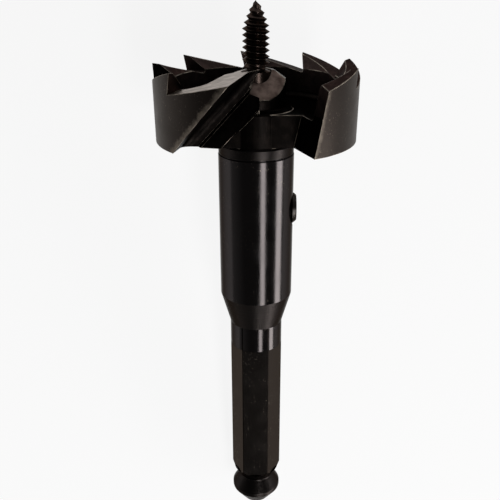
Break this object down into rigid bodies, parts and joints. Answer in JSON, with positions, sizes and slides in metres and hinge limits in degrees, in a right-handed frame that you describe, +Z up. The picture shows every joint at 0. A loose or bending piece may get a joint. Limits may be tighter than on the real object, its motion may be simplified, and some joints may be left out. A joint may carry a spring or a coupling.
{
  "type": "self-feed bit",
  "caption": "Self-feed bit: a toothed cutter head with one radial lip, a threaded feed screw and a long grooved hexagon shank.",
  "frame": {"origin": "on the surface that the bit lies on, under the middle of its box", "axes": "+Z up; +Y along the bit on the ground plan, from the shank's end to the feed screw; +X to the side of the set screw"},
  "size_m": [0.0446, 0.1292, 0.0452],
  "materials": {
    "body_steel": "black oxide, worn to bare steel on the edges",
    "screw_steel": "black oxide",
    "set_screw_steel": "black oxide"
  },
  "bodies": {
    "root": {"bit_body": "body_steel", "feed_screw": "screw_steel", "set_screw": "set_screw_steel"}
  },
  "joints": []
}
